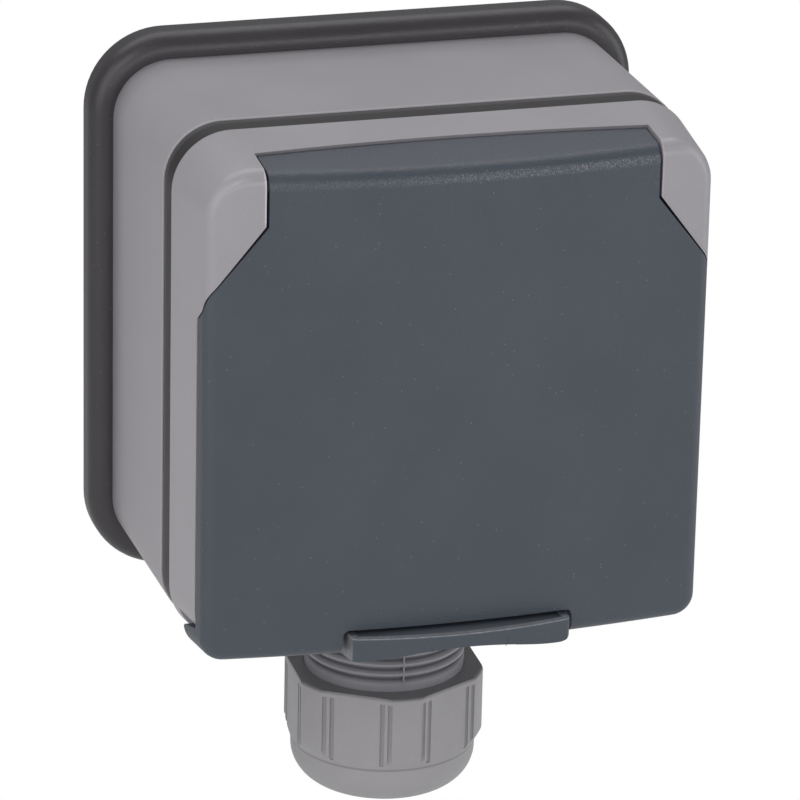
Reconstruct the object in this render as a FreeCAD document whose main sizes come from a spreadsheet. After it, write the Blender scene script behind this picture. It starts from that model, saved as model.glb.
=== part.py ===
import FreeCAD, Part
import math
import os
import Sketcher

# Outdoor weatherproof socket: a wall box with a rubber wall seal, a front cover with a hinged
# lid over a sunk socket, and a cable gland underneath. Millimetres.
# X runs right as seen from the front, the front faces -Y, +Z is up. The origin is the centre
# of the wall plane, and a "depth" is a distance forward from the wall, so y = -depth.

SIZES = {
    # wall box
    "box_half_x": 45.3,
    "box_half_z": 45.0,
    "box_corner": 10.0,
    "box_wall": 2.4,
    "box_back": 2.0,
    "box_floor": 2.6,
    "box_front": 42.7,
    "lip_band": 2.3,
    "lip_wall": 2.1,
    "lip_height": 1.9,
    "lip_run": 2.2,
    "fixing_side": 15.3,
    "fixing_drop": 15.0,
    "fixing_hole": 2.3,
    "fixing_boss": 5.0,
    # wall seal
    "wall_seal_side": 3.8,
    "wall_seal_depth": 8.0,
    "wall_seal_round": 3.4,
    "wall_seal_cover": 8.3,
    "wall_seal_corner": 2.0,
    # seal between box and cover
    "cover_seal_band": 5.5,
    "cover_seal_web": 1.6,
    "cover_seal_sink": 0.2,
    # front cover, with its depths measured back from the crown of the face
    "cover_draft": 6.0,
    "cover_wall": 2.3,
    "face_rise": 25.9,
    "face_bow": 240.0,
    "face_round": 2.8,
    "plate_sink": 8.25,
    "plate_thick": 2.75,
    "step_sink": 17.0,
    "step_side": 4.1,
    "step_rise": 5.0,
    "step_shelf": 6.9,
    "trough_wall": 1.9,
    "collar_sink": 6.0,
    "collar_radius": 26.4,
    "gap": 0.5,
    "low_gap": 0.18,
    "tail_gap": 0.4,
    # screws that hold the cover on the box
    "cover_screw_side": 8.7,
    "cover_screw_high": 14.0,
    "cover_screw_low": 11.0,
    "cover_screw_radius": 1.6,
    "cover_screw_head": 3.0,
    "cover_screw_grip": 14.0,
    "post_radius": 3.7,
    "post_rise": 3.3,
    # lid
    "lid_bottom_gap": 0.2,
    "lid_top_gap": 0.5,
    "lid_corner": 5.5,
    "lid_wall": 2.2,
    "lid_joint_sink": 7.8,
    "skirt_sink": 13.4,
    "skirt_edge": 6.5,
    "shoulder_width": 11.8,
    "shoulder_drop": 11.2,
    "knee_side": 2.0,
    "knee_drop": 23.4,
    "shoulder_foot_side": 0.4,
    "shoulder_foot_z": 8.0,
    "shoulder_round": 6.0,
    # hinge
    "hinge_sink": 5.2,
    "hinge_drop": 5.0,
    "barrel_mid": 7.9,
    "barrel_end": 6.6,
    "pin_radius": 1.0,
    "pin_in_lid": 4.2,
    "pin_in_cover": 5.0,
    "pin_clearance": 0.05,
    "hinge_boss": 2.7,
    "spring_bore": 1.75,
    "spring_room": 3.4,
    "spring_wire": 0.17,
    "spring_coil": 1.45,
    # lid seal
    "lid_seal_sink": 4.2,
    "lid_seal_inner": 23.0,
    "lid_seal_outer": 26.0,
    "lid_seal_gap": 0.1,
    "seal_seat_land": 1.2,
    # notch and latch, with heights measured up from the lid's bottom edge
    "notch_half": 20.1,
    "notch_flare": 0.3,
    "notch_rise": 6.6,
    "latch_half": 19.2,
    "latch_top_rise": 6.0,
    "latch_front_rise": 2.2,
    "latch_back_rise": 0.6,
    "latch_reach": 3.7,
    "latch_bow": 84.0,
    "latch_lip_sink": 6.0,
    "latch_arch": 1.35,
    "latch_arch_round": 30.0,
    "latch_scoop": 1.7,
    "latch_rim": 1.2,
    "latch_arm": 1.9,
    "latch_arm_half": 13.5,
    "latch_pivot_sink": 5.1,
    "latch_pivot_rise": 9.4,
    "latch_pin": 1.0,
    "latch_eye": 2.0,
    "latch_rib": 2.0,
    "hook_half": 5.0,
    "hook_sink": 13.0,
    "hook_thick": 1.6,
    "hook_rise": 8.4,
    "catch_half": 6.2,
    "catch_rise": 11.2,
    "catch_height": 4.4,
    # socket insert
    "socket_z": -3.5,
    "well_radius": 19.5,
    "well_wall": 1.5,
    "well_sink": 0.2,
    "well_depth": 15.6,
    "floor_thick": 1.6,
    "flange_radius": 24.0,
    "flange_thick": 2.0,
    "pin_spacing": 19.0,
    "pin_hole": 2.75,
    "earth_offset": 10.0,
    "earth_radius": 2.4,
    "earth_length": 14.0,
    # contact carrier and contacts
    "base_depth": 12.2,
    "base_radius": 20.5,
    "base_rim": 2.0,
    "ear_half_x": 31.5,
    "ear_half_z": 4.6,
    "insert_screw_x": 27.6,
    "insert_post": 3.2,
    "insert_screw_radius": 1.25,
    "sleeve_outer": 3.9,
    "sleeve_inner": 2.5,
    "sleeve_slit": 0.8,
    "strip_thick": 1.2,
    "strip_half": 3.6,
    "terminal_side": 7.0,
    "terminal_height": 7.4,
    "terminal_x": 11.5,
    "terminal_drop": 10.5,
    "earth_terminal_z": 16.5,
    "wire_hole": 1.6,
    "terminal_screw_radius": 1.5,
    "terminal_screw_head": 2.6,
    # shutter
    "shutter_half_x": 14.0,
    "shutter_top": 9.4,
    "shutter_low": 4.2,
    "shutter_thick": 1.4,
    "shutter_travel": 5.6,
    "shutter_play": 0.15,
    "return_coil": 0.7,
    "return_wire": 0.15,
    "return_length": 10.6,
    # cable gland
    "gland_depth": 25.2,
    "entry_radius": 12.4,
    "entry_play": 0.2,
    "entry_length": 9.0,
    "gland_bore": 8.8,
    "face_seal_thick": 1.5,
    "face_seal_radius": 16.4,
    "flange_flats": 30.0,
    "gland_flange": 5.0,
    "neck_radius": 14.2,
    "neck_end": 26.0,
    "ring_depth": 0.8,
    "ring_pitch": 1.8,
    "seam_x": -0.6,
    "seam_half": 0.12,
    "seam_rise": 0.05,
    "bush_seat": 11.3,
    "bush_radius": 11.1,
    "bush_bore": 6.3,
    "bush_top": 16.2,
    "bush_low": 29.4,
    "slip_ring_radius": 12.6,
    "slip_ring_bore": 7.4,
    "slip_ring_thick": 1.4,
    "nut_top": 18.5,
    "nut_corner": 30.0,
    "nut_shoulder": 32.6,
    "nut_dome": 40.4,
    "nut_radius": 17.75,
    "nut_flats": 33.0,
    "nut_round": 6.4,
    "nut_mouth": 9.0,
    "nut_play": 0.08,
    "nut_groove": 0.42,
    "groove_place": 5.3,
    "groove_split": 0.7,
    "groove_top": 1.2,
    "locknut_thick": 5.0,
    "locknut_flats": 29.0,
}

doc = FreeCAD.newDocument("WeatherproofSocket")
sheet = doc.addObject("Spreadsheet::Sheet", "Sizes")
for row, (word, number) in enumerate(SIZES.items(), 1):
    sheet.set("A%d" % row, word)
    sheet.set("B%d" % row, str(number))
    sheet.setAlias("B%d" % row, word)
doc.recompute()


class Size:
    """A size that knows both its value and the sheet expression that gives it."""

    def __init__(self, value, text):
        self.value = float(value)
        self.text = text

    @staticmethod
    def of(thing):
        return thing if isinstance(thing, Size) else Size(thing, repr(float(thing)))

    def __add__(self, other):
        other = Size.of(other)
        return Size(self.value + other.value, "(%s + %s)" % (self.text, other.text))

    def __sub__(self, other):
        other = Size.of(other)
        return Size(self.value - other.value, "(%s - %s)" % (self.text, other.text))

    def __mul__(self, other):
        other = Size.of(other)
        return Size(self.value * other.value, "(%s * %s)" % (self.text, other.text))

    def __truediv__(self, other):
        other = Size.of(other)
        return Size(self.value / other.value, "(%s / %s)" % (self.text, other.text))

    def __radd__(self, other):
        return Size.of(other) + self

    def __rsub__(self, other):
        return Size.of(other) - self

    def __rmul__(self, other):
        return Size.of(other) * self

    def __neg__(self):
        return Size(-self.value, "(-1 * %s)" % self.text)


class Sizes:
    """Reads a size from the sheet by its alias."""

    def __getattr__(self, name):
        return Size(sheet.get(name), "Sizes." + name)


S = Sizes()
FAR = 90.0

# Depths of the front, worked out from the crown of its face
S.face_crown = S.box_front + S.face_rise
S.plate_front = S.face_crown - S.plate_sink
S.plate_rear = S.plate_front - S.plate_thick
S.step_back = S.face_crown - S.step_sink
S.collar_front = S.face_crown - S.collar_sink
S.lid_joint = S.face_crown - S.lid_joint_sink
S.lid_skirt_back = S.face_crown - S.skirt_sink
S.hinge_depth = S.face_crown - S.hinge_sink
S.lid_seal_front = S.face_crown - S.lid_seal_sink
S.latch_front = S.face_crown + S.latch_reach
S.latch_lip_back = S.face_crown - S.latch_lip_sink
S.latch_pivot_depth = S.face_crown - S.latch_pivot_sink
S.hook_back = S.face_crown - S.hook_sink
S.well_front = S.collar_front - S.well_sink
S.well_floor = S.well_front - S.well_depth
S.insert_rear = S.well_floor - S.floor_thick
S.base_front = S.insert_rear - S.base_rim
S.base_back = S.base_front - S.base_depth
S.post_front = S.box_front + S.post_rise

# Widths and heights that follow the box
S.wall_seal_opening = S.box_half_x - S.wall_seal_cover
S.wall_seal_open_z = S.box_half_z - S.wall_seal_cover
S.fixing_x = S.box_half_x - S.fixing_side
S.fixing_z = S.box_half_z - S.fixing_drop
S.cover_screw_x = S.box_half_x - S.cover_screw_side
S.cover_screw_z = S.box_half_z - S.cover_screw_low
S.step_half = S.box_half_x - S.step_side
S.step_low = S.box_half_z - S.step_rise
S.step_edge = S.box_half_z - S.step_shelf
S.lid_bottom = S.box_half_z - S.lid_bottom_gap
S.lid_top = S.box_half_z - S.lid_top_gap
S.lid_skirt_edge = S.box_half_z - S.skirt_edge
S.hinge_half = S.box_half_x - S.shoulder_width
S.hinge_low = S.box_half_z - S.shoulder_drop
S.hinge_z = S.box_half_z - S.hinge_drop
S.shoulder_x = S.box_half_x - S.knee_side
S.shoulder_z = S.box_half_z - S.knee_drop
S.shoulder_end_x = S.box_half_x - S.shoulder_foot_side
S.notch_top = S.lid_bottom - S.notch_rise
S.latch_top = S.lid_bottom - S.latch_top_rise
S.latch_low = S.lid_bottom - S.latch_front_rise
S.latch_foot = S.lid_bottom - S.latch_back_rise
S.latch_pivot_z = S.lid_bottom - S.latch_pivot_rise
S.hook_z = S.lid_bottom - S.hook_rise
S.catch_top = S.lid_bottom - S.catch_rise
S.catch_low = S.catch_top + S.catch_height


def number(thing):
    return Size.of(thing).value


def slope(angle):
    return Size(math.tan(math.radians(angle.value)), "tan(%s)" % angle.text)


def bind(thing, prop, size):
    """Set a property now and tie it to the sheet."""
    size = Size.of(size)
    if "." not in prop:
        setattr(thing, prop, size.value)
    if "Sizes." in size.text:
        thing.setExpression(prop, size.text)


def place(thing, x=0.0, y=0.0, z=0.0, turn=None):
    """Put an object at x, y, z, tied to the sheet, with an optional fixed turn."""
    spot = FreeCAD.Vector(number(x), number(y), number(z))
    thing.Placement = FreeCAD.Placement(spot, turn or FreeCAD.Rotation())
    for axis, value in (("x", x), ("y", y), ("z", z)):
        bind(thing, "Placement.Base." + axis, value)
    return thing


FORWARD = FreeCAD.Rotation(FreeCAD.Vector(1, 0, 0), 90)
SIDEWAYS = FreeCAD.Rotation(FreeCAD.Vector(0, 1, 0), 90)
ROLES = {"front": "XZ_Plane", "side": "YZ_Plane", "plan": "XY_Plane"}


def new_body(label):
    body = doc.addObject("PartDesign::Body", label)
    body.Label = label
    return body


def sketch(body, view, offset=0.0, shift=None):
    """A sketch on one of the body's own origin planes. In the front view offset is a depth,
    in the side view u is y and v is z, in the plan view u is x and v is y."""
    made = body.newObject("Sketcher::SketchObject", body.Label + "_sketch")
    plane = [f for f in body.Origin.OriginFeatures if f.Role == ROLES[view]][0]
    made.AttachmentSupport = [(plane, "")]
    made.MapMode = "FlatFace"
    across, up = shift or (0.0, 0.0)
    spot = FreeCAD.Vector(number(across), number(up), number(offset))
    made.AttachmentOffset = FreeCAD.Placement(spot, FreeCAD.Rotation())
    for axis, value in (("x", across), ("y", up), ("z", offset)):
        bind(made, "AttachmentOffset.Base." + axis, value)
    return made


def pin_point(made, geo, end, u, v):
    """Hold one point of a sketch at u, v from its origin."""
    for kind, value in (("DistanceX", u), ("DistanceY", v)):
        value = Size.of(value)
        index = made.addConstraint(Sketcher.Constraint(kind, -1, 1, geo, end, value.value))
        if "Sizes." in value.text:
            made.setExpression("Constraints[%d]" % index, value.text)


def pin_radius(made, geo, radius):
    radius = Size.of(radius)
    index = made.addConstraint(Sketcher.Constraint("Radius", geo, radius.value))
    if "Sizes." in radius.text:
        made.setExpression("Constraints[%d]" % index, radius.text)


def add_arc(made, centre, first, middle, last):
    """Add an arc through three points and say which of its ends is at the first point."""
    radius = centre.distanceToPoint(middle)
    ring = Part.Circle(centre, FreeCAD.Vector(0, 0, 1), radius)
    turn = (middle - first).cross(last - middle).z
    begin, end = (first, last) if turn > 0 else (last, first)
    from_angle = math.atan2(begin.y - centre.y, begin.x - centre.x)
    to_angle = math.atan2(end.y - centre.y, end.x - centre.x)
    if to_angle < from_angle:
        to_angle += 2 * math.pi
    geo = made.addGeometry(Part.ArcOfCircle(ring, from_angle, to_angle))
    return (geo, 1, 2) if turn > 0 else (geo, 2, 1)


def circle(made, u, v, radius):
    centre = FreeCAD.Vector(number(u), number(v), 0)
    geo = made.addGeometry(Part.Circle(centre, FreeCAD.Vector(0, 0, 1), number(radius)))
    pin_point(made, geo, 3, u, v)
    pin_radius(made, geo, radius)


def outline(made, corners):
    """A closed outline of straight sides. A corner is (u, v) or (u, v, radius)."""
    points = [FreeCAD.Vector(number(c[0]), number(c[1]), 0) for c in corners]
    count = len(points)
    starts, ends, arcs = [], [], []
    for i, corner in enumerate(corners):
        here = points[i]
        radius = number(corner[2]) if len(corner) > 2 else 0.0
        if not radius:
            starts.append(here)
            ends.append(here)
            arcs.append(None)
            continue
        back = (points[i - 1] - here).normalize()
        ahead = (points[(i + 1) % count] - here).normalize()
        half = math.acos(max(-1.0, min(1.0, back.dot(ahead)))) / 2
        run = radius / math.tan(half)
        first = here + back * run
        last = here + ahead * run
        centre = here + (back + ahead).normalize() * (radius / math.sin(half))
        middle = centre + (here - centre).normalize() * radius
        starts.append(first)
        ends.append(last)
        arcs.append((centre, first, middle, last))
    sides = []
    for i in range(count):
        sides.append(made.addGeometry(Part.LineSegment(ends[i], starts[(i + 1) % count])))
    for i, corner in enumerate(corners):
        before, after = sides[i - 1], sides[i]
        if arcs[i] is None:
            made.addConstraint(Sketcher.Constraint("Coincident", before, 2, after, 1))
            pin_point(made, after, 1, corner[0], corner[1])
            continue
        arc, near, far = add_arc(made, *arcs[i])
        made.addConstraint(Sketcher.Constraint("Tangent", before, 2, arc, near))
        made.addConstraint(Sketcher.Constraint("Tangent", arc, far, after, 1))
        pin_radius(made, arc, corner[2])
        point = made.addGeometry(Part.Point(points[i]), True)
        made.addConstraint(Sketcher.Constraint("PointOnObject", point, 1, before))
        made.addConstraint(Sketcher.Constraint("PointOnObject", point, 1, after))
        pin_point(made, point, 1, corner[0], corner[1])


def rounded_box(made, half_u, half_v, radius):
    outline(made, [(-half_u, -half_v, radius), (half_u, -half_v, radius),
                   (half_u, half_v, radius), (-half_u, half_v, radius)])


def plain_box(made, u0, u1, v0, v1):
    outline(made, [(u0, v0), (u1, v0), (u1, v1), (u0, v1)])


def bowed_side(made, half_u, crown_v, radius, end_v, bulge=1):
    """An outline with three straight sides and an arc. The arc's crown is at crown_v and it
    bulges up the sheet when bulge is 1, or down it when bulge is -1."""
    half, crown, bow = number(half_u), number(crown_v), number(radius)
    corner = crown - bulge * (bow - math.sqrt(bow * bow - half * half))
    left = FreeCAD.Vector(-half, corner, 0)
    right = FreeCAD.Vector(half, corner, 0)
    centre = FreeCAD.Vector(0, crown - bulge * bow, 0)
    top = FreeCAD.Vector(0, crown, 0)
    arc, at_left, at_right = add_arc(made, centre, left, top, right)
    low_left = FreeCAD.Vector(-half, number(end_v), 0)
    low_right = FreeCAD.Vector(half, number(end_v), 0)
    side_a = made.addGeometry(Part.LineSegment(right, low_right))
    side_b = made.addGeometry(Part.LineSegment(low_right, low_left))
    side_c = made.addGeometry(Part.LineSegment(low_left, left))
    made.addConstraint(Sketcher.Constraint("Coincident", arc, at_right, side_a, 1))
    made.addConstraint(Sketcher.Constraint("Coincident", side_a, 2, side_b, 1))
    made.addConstraint(Sketcher.Constraint("Coincident", side_b, 2, side_c, 1))
    made.addConstraint(Sketcher.Constraint("Coincident", side_c, 2, arc, at_left))
    made.addConstraint(Sketcher.Constraint("Vertical", side_a))
    made.addConstraint(Sketcher.Constraint("Vertical", side_c))
    pin_point(made, side_b, 1, half_u, end_v)
    pin_point(made, side_b, 2, -Size.of(half_u), end_v)
    pin_point(made, arc, 3, 0.0, Size.of(crown_v) - bulge * Size.of(radius))
    pin_radius(made, arc, radius)


def finish(body, feature, sketches):
    for made in sketches:
        made.Visibility = False
    doc.recompute()
    if "Invalid" in feature.State or "Error" in feature.State:
        raise RuntimeError("%s in %s: %s" % (feature.Name, body.Label, feature.getStatusString()))
    return feature


def pad(body, made, length, draft=None, both=False, back=False):
    feature = body.newObject("PartDesign::Pad", body.Label + "_pad")
    feature.Profile = made
    bind(feature, "Length", length)
    if draft is not None:
        bind(feature, "TaperAngle", draft)
    if both:
        feature.SideType = "Symmetric"
    feature.Reversed = back
    return finish(body, feature, [made])


def pocket(body, made, length=None, ahead=False, both=False):
    """Cut against the sketch normal, or along it when ahead is set. No length cuts through."""
    feature = body.newObject("PartDesign::Pocket", body.Label + "_pocket")
    feature.Profile = made
    feature.Reversed = ahead
    if both:
        feature.SideType = "Symmetric"
    if length is None:
        feature.Type = "ThroughAll"
    else:
        bind(feature, "Length", length)
    finish(body, feature, [made])
    base = feature.BaseFeature.Shape.Volume
    if not feature.Shape.Volume < base - 1e-6:
        raise RuntimeError("%s in %s cuts nothing" % (feature.Name, body.Label))
    return feature


def turned(body, made, axis, kind="PartDesign::Revolution", angle=360.0, both=False):
    feature = body.newObject(kind, body.Label + "_turn")
    feature.Profile = made
    feature.ReferenceAxis = (made, [axis])
    feature.Angle = angle
    feature.Midplane = both
    return finish(body, feature, [made])


def edges_of(shape, test):
    return ["Edge%d" % (i + 1) for i, edge in enumerate(shape.Edges) if test(edge.BoundBox, edge)]


def rounded(body, radius, test, kind="PartDesign::Fillet"):
    """Round (or chamfer) the edges of the body's last feature that pass the test."""
    base = body.Tip
    names = edges_of(base.Shape, test)
    if not names:
        raise RuntimeError("no edge to round in " + body.Label)
    feature = body.newObject(kind, body.Label + "_round")
    feature.Base = (base, names)
    bind(feature, "Radius" if kind.endswith("Fillet") else "Size", radius)
    return finish(body, feature, [])


def pattern(body, feature, count, axis, span=None, angle=None):
    """Repeat a feature in a row along a body axis, or around it."""
    kind = "PartDesign::LinearPattern" if span is not None else "PartDesign::PolarPattern"
    made = body.newObject(kind, body.Label + "_pattern")
    made.Originals = [feature]
    line = [f for f in body.Origin.OriginFeatures if f.Role == axis][0]
    if span is not None:
        made.Direction = (line, [""])
        bind(made, "Length", span)
    else:
        made.Axis = (line, [""])
        made.Angle = angle
    made.Occurrences = count
    body.Tip = made
    return finish(body, made, [])


def joined(kind, label, base, *tools):
    """Part boolean of two or more objects."""
    result = base
    for tool in tools:
        made = doc.addObject("Part::" + kind, label + "_step")
        made.Base = result
        made.Tool = tool
        result = made
    result.Label = label
    doc.recompute()
    return result


def cylinder(label, radius, length, x, y, z, turn=None):
    made = doc.addObject("Part::Cylinder", label)
    bind(made, "Radius", radius)
    bind(made, "Height", length)
    return place(made, x, y, z, turn)


def block(label, length, width, height, x, y, z):
    made = doc.addObject("Part::Box", label)
    bind(made, "Length", length)
    bind(made, "Width", width)
    bind(made, "Height", height)
    return place(made, x, y, z)


def at_depth(depth, tolerance=0.05):
    """Test for edges that lie wholly at one depth from the wall."""
    y = -number(depth)
    return lambda box, edge: abs(box.YMin - y) < tolerance and abs(box.YMax - y) < tolerance


NODES = []


def node(name, thing):
    thing.Label = name
    NODES.append(thing)
    return thing


def front_form(label, base, half_x, top, low, top_round, low_round, crown, bow, soft=None):
    """The tapered front shape with its bowed face, from the cover's base plane forward."""
    body = new_body(label)
    made = sketch(body, "front", base)
    outline(made, [(-half_x, -low, low_round), (half_x, -low, low_round),
                   (half_x, top, top_round), (-half_x, top, top_round)])
    pad(body, made, crown - base + 4.0, draft=-S.cover_draft)
    made = sketch(body, "plan")
    bowed_side(made, 70.0, -crown, bow, -FAR, bulge=-1)
    pocket(body, made, 2 * FAR, both=True)
    if soft is not None:
        shape = body.Tip.Shape
        face = min(shape.Faces, key=lambda one: one.CenterOfMass.y)
        rounded(body, soft, lambda box, edge: any(edge.isSame(own) for own in face.Edges))
    return body


def lid_side(high, low, side):
    """The lid's edge beside one shoulder, from the top down. It is moved outward by high at the
    hinge's corner, where the lid's swing needs room, and by low at the foot of the slope."""
    return [(side * (S.hinge_half + high), S.hinge_low + high * 0.35),
            (side * (S.shoulder_x + low * 0.9), S.shoulder_z + low * 0.43, S.shoulder_round),
            (side * (S.shoulder_end_x + low * 0.9), S.shoulder_foot_z)]


def shoulder_zone(made, grow, side):
    """The closed outline of everything outside the lid's edge on one side."""
    top, knee, end = lid_side(grow, grow, side)
    points = [(top[0], FAR), top, knee, end, (side * FAR, S.shoulder_foot_z), (side * FAR, FAR)]
    outline(made, points if side > 0 else points[::-1])


def barrel(label, middle, end, half, base_half=None):
    """A barrel about the hinge axis, fat in the middle, that makes the curved joint line."""
    body = new_body(label)
    made = sketch(body, "front", S.hinge_depth, shift=(0.0, S.hinge_z))
    sag = middle - end
    full = base_half if base_half is not None else half
    bowed_side(made, half, middle, (full * full + sag * sag) / (2 * sag), 0.0)
    turned(body, made, "H_Axis")
    return body


def rod(label, made_depth, z, radius, x0, x1):
    """A bar along X."""
    return cylinder(label, radius, x1 - x0, x0, -Size.of(made_depth), z, SIDEWAYS)


def post(label, x, z, radius, d0, d1):
    """A bar along the depth, from depth d0 to d1."""
    return cylinder(label, radius, Size.of(d1) - d0, x, -Size.of(d0), z, FORWARD)


def slab(label, x0, x1, d0, d1, z0, z1):
    """A box given by its limits in x, depth and z."""
    x0, d0, z0 = Size.of(x0), Size.of(d0), Size.of(z0)
    return block(label, x1 - x0, d1 - d0, z1 - z0, x0, -Size.of(d1), z0)


def coil(label, mean, wire, height, turns, x, y, z, turn=None):
    """A coil spring along its own Z from the given point, of short straight lengths of wire."""
    per_turn = 12
    points = []
    for i in range(turns * per_turn + 1):
        angle = 2 * math.pi * i / per_turn
        rise = number(height) * i / (turns * per_turn)
        points.append(FreeCAD.Vector(number(mean) * math.cos(angle),
                                     number(mean) * math.sin(angle), rise))
    line = doc.addObject("Part::Polygon", label + "_line")
    line.Nodes = points
    section = doc.addObject("Part::RegularPolygon", label + "_wire")
    section.Polygon = 6
    bind(section, "Circumradius", wire)
    along = FreeCAD.Rotation(FreeCAD.Vector(0, 0, 1), points[1] - points[0])
    place(section, mean, 0.0, 0.0, along)
    doc.recompute()
    made = doc.addObject("Part::Sweep", label)
    made.Sections = [section]
    made.Spine = (line, ["Edge%d" % (i + 1) for i in range(len(line.Shape.Edges))])
    made.Solid = True
    made.Frenet = False
    made.Transition = "Right corner"
    place(made, x, y, z, turn)
    return made


def group(label, *things):
    made = doc.addObject("Part::Compound", label)
    made.Links = list(things)
    doc.recompute()
    return made


# Wall seal: a rubber frame that hugs the back of the box

wall_seal = new_body("wall_seal")
made = sketch(wall_seal, "front")
seal_half_x = S.box_half_x + S.wall_seal_side
seal_half_z = S.box_half_z + S.wall_seal_side + 0.4
rounded_box(made, seal_half_x, seal_half_z, S.box_corner + S.wall_seal_side)
pad(wall_seal, made, S.wall_seal_depth)
rounded(wall_seal, S.wall_seal_round, at_depth(S.wall_seal_depth))
rounded(wall_seal, 2.2, at_depth(0.0))
made = sketch(wall_seal, "front", S.box_back)
rounded_box(made, S.box_half_x, S.box_half_z, S.box_corner)
pocket(wall_seal, made, S.wall_seal_depth, ahead=True)
made = sketch(wall_seal, "front", S.box_back)
rounded_box(made, S.wall_seal_opening, S.wall_seal_open_z, S.box_corner - S.wall_seal_corner)
pocket(wall_seal, made, S.box_back + 1.0)
node("wall_seal", wall_seal)

# Wall box: lip, stepped cavity, screw posts, fixing holes and the cable entry

back_box = new_body("back_box")
made = sketch(back_box, "front", S.box_back)
rounded_box(made, S.box_half_x, S.box_half_z, S.box_corner)
pad(back_box, made, S.box_front - S.box_back)
rounded(back_box, 1.0, at_depth(S.box_back))
lip_x = S.box_half_x - S.lip_band
lip_z = S.box_half_z - S.lip_band
lip_corner = S.box_corner - S.lip_band
made = sketch(back_box, "front", S.box_front - 1.0)
rounded_box(made, lip_x, lip_z, lip_corner)
pad(back_box, made, S.lip_height + 1.0)
rim = S.box_front + S.lip_height
inner_x = lip_x - S.lip_wall
inner_z = lip_z - S.lip_wall
inner_corner = lip_corner - S.lip_wall
made = sketch(back_box, "front", rim)
rounded_box(made, inner_x, inner_z, inner_corner)
pocket(back_box, made, S.lip_run)
floor_depth = S.box_back + S.box_floor
made = sketch(back_box, "front", rim - S.lip_run)
rounded_box(made, S.box_half_x - S.box_wall, S.box_half_z - S.box_wall, S.box_corner - S.box_wall)
pocket(back_box, made, rim - S.lip_run - floor_depth)
for side in (-1, 1):
    for height in (S.cover_screw_high, -S.cover_screw_z):
        made = sketch(back_box, "front", floor_depth - 0.5)
        circle(made, side * S.cover_screw_x, height, S.post_radius)
        pad(back_box, made, S.post_front - floor_depth + 0.5)
made = sketch(back_box, "front", S.post_front)
for side in (-1, 1):
    for height in (S.cover_screw_high, -S.cover_screw_z):
        circle(made, side * S.cover_screw_x, height, S.cover_screw_radius + 0.03)
pocket(back_box, made, S.cover_screw_grip + 3.0)
made = sketch(back_box, "front", floor_depth - 0.5)
for x_side in (-1, 1):
    for z_side in (-1, 1):
        circle(made, x_side * S.fixing_x, z_side * S.fixing_z, S.fixing_boss)
pad(back_box, made, 2.5)
made = sketch(back_box, "front")
for x_side in (-1, 1):
    for z_side in (-1, 1):
        circle(made, x_side * S.fixing_x, z_side * S.fixing_z, S.fixing_boss)
pad(back_box, made, S.box_back + 0.5)
made = sketch(back_box, "front", floor_depth + 6.0)
for x_side in (-1, 1):
    for z_side in (-1, 1):
        circle(made, x_side * S.fixing_x, z_side * S.fixing_z, S.fixing_hole)
pocket(back_box, made, floor_depth + 8.0)
made = sketch(back_box, "plan", -S.box_half_z + 6.0)
circle(made, 0.0, -S.gland_depth, S.entry_radius + S.entry_play)
pocket(back_box, made, 8.0)
node("back_box", back_box)

# Seal between the box and the front cover

cover_seal = new_body("cover_seal")
made = sketch(cover_seal, "front", S.box_front)
sink = S.cover_seal_sink
rounded_box(made, S.box_half_x - sink, S.box_half_z - sink, S.box_corner - sink)
pad(cover_seal, made, S.cover_seal_band)
made = sketch(cover_seal, "front", S.box_front)
rounded_box(made, inner_x, inner_z, inner_corner)
pocket(cover_seal, made, 20.0, ahead=True)
made = sketch(cover_seal, "front", S.box_front)
rounded_box(made, lip_x, lip_z, lip_corner)
pocket(cover_seal, made, S.lip_height, ahead=True)
cover_base = S.box_front + S.cover_seal_band
web_front = rim + S.cover_seal_web
made = sketch(cover_seal, "front", cover_base)
rounded_box(made, lip_x, lip_z, lip_corner)
pocket(cover_seal, made, cover_base - web_front)
node("cover_seal", cover_seal)

# Front cover: outer form less a hollow that keeps walls round the trough and the lower step

cover_outer = front_form("cover_outer", cover_base, S.box_half_x, S.box_half_z, S.box_half_z,
                         S.box_corner, S.box_corner, S.face_crown, S.face_bow, S.face_round)
hollow_form = new_body("cover_hollow")
made = sketch(hollow_form, "front", cover_base - 1.0)
wall = S.cover_wall
rounded_box(made, S.box_half_x - wall, S.box_half_z - wall, S.box_corner - wall)
pad(hollow_form, made, S.plate_rear - cover_base + 1.0, draft=-S.cover_draft)
reach = S.hinge_half + S.gap
trough = barrel("trough", S.barrel_mid, S.barrel_end, reach)
shell_half = reach + 1.8
trough_shell = barrel("trough_shell", S.barrel_mid + S.trough_wall, S.barrel_end + S.trough_wall,
                      shell_half)
step = new_body("lower_step")
made = sketch(step, "front", S.step_back)
outline(made, [(-FAR, -FAR), (FAR, -FAR), (FAR, -S.step_edge), (S.step_half, -S.step_edge),
               (S.step_half, -S.step_low, 3.0), (-S.step_half, -S.step_low, 3.0),
               (-S.step_half, -S.step_edge), (-FAR, -S.step_edge)])
pad(step, made, 50.0)
step_shell = new_body("lower_step_shell")
made = sketch(step_shell, "front", S.step_back - wall)
shell_in = S.step_half - wall
outline(made, [(-FAR, -FAR), (FAR, -FAR), (FAR, -S.step_edge + wall),
               (shell_in, -S.step_edge + wall), (shell_in, -S.step_low + wall),
               (-shell_in, -S.step_low + wall), (-shell_in, -S.step_edge + wall),
               (-FAR, -S.step_edge + wall)])
pad(step_shell, made, 50.0)
lid_zone = new_body("lid_zone")
made = sketch(lid_zone, "front", S.plate_front)
left = lid_side(S.gap, S.low_gap, -1)
right = lid_side(S.gap, S.low_gap, 1)
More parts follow.
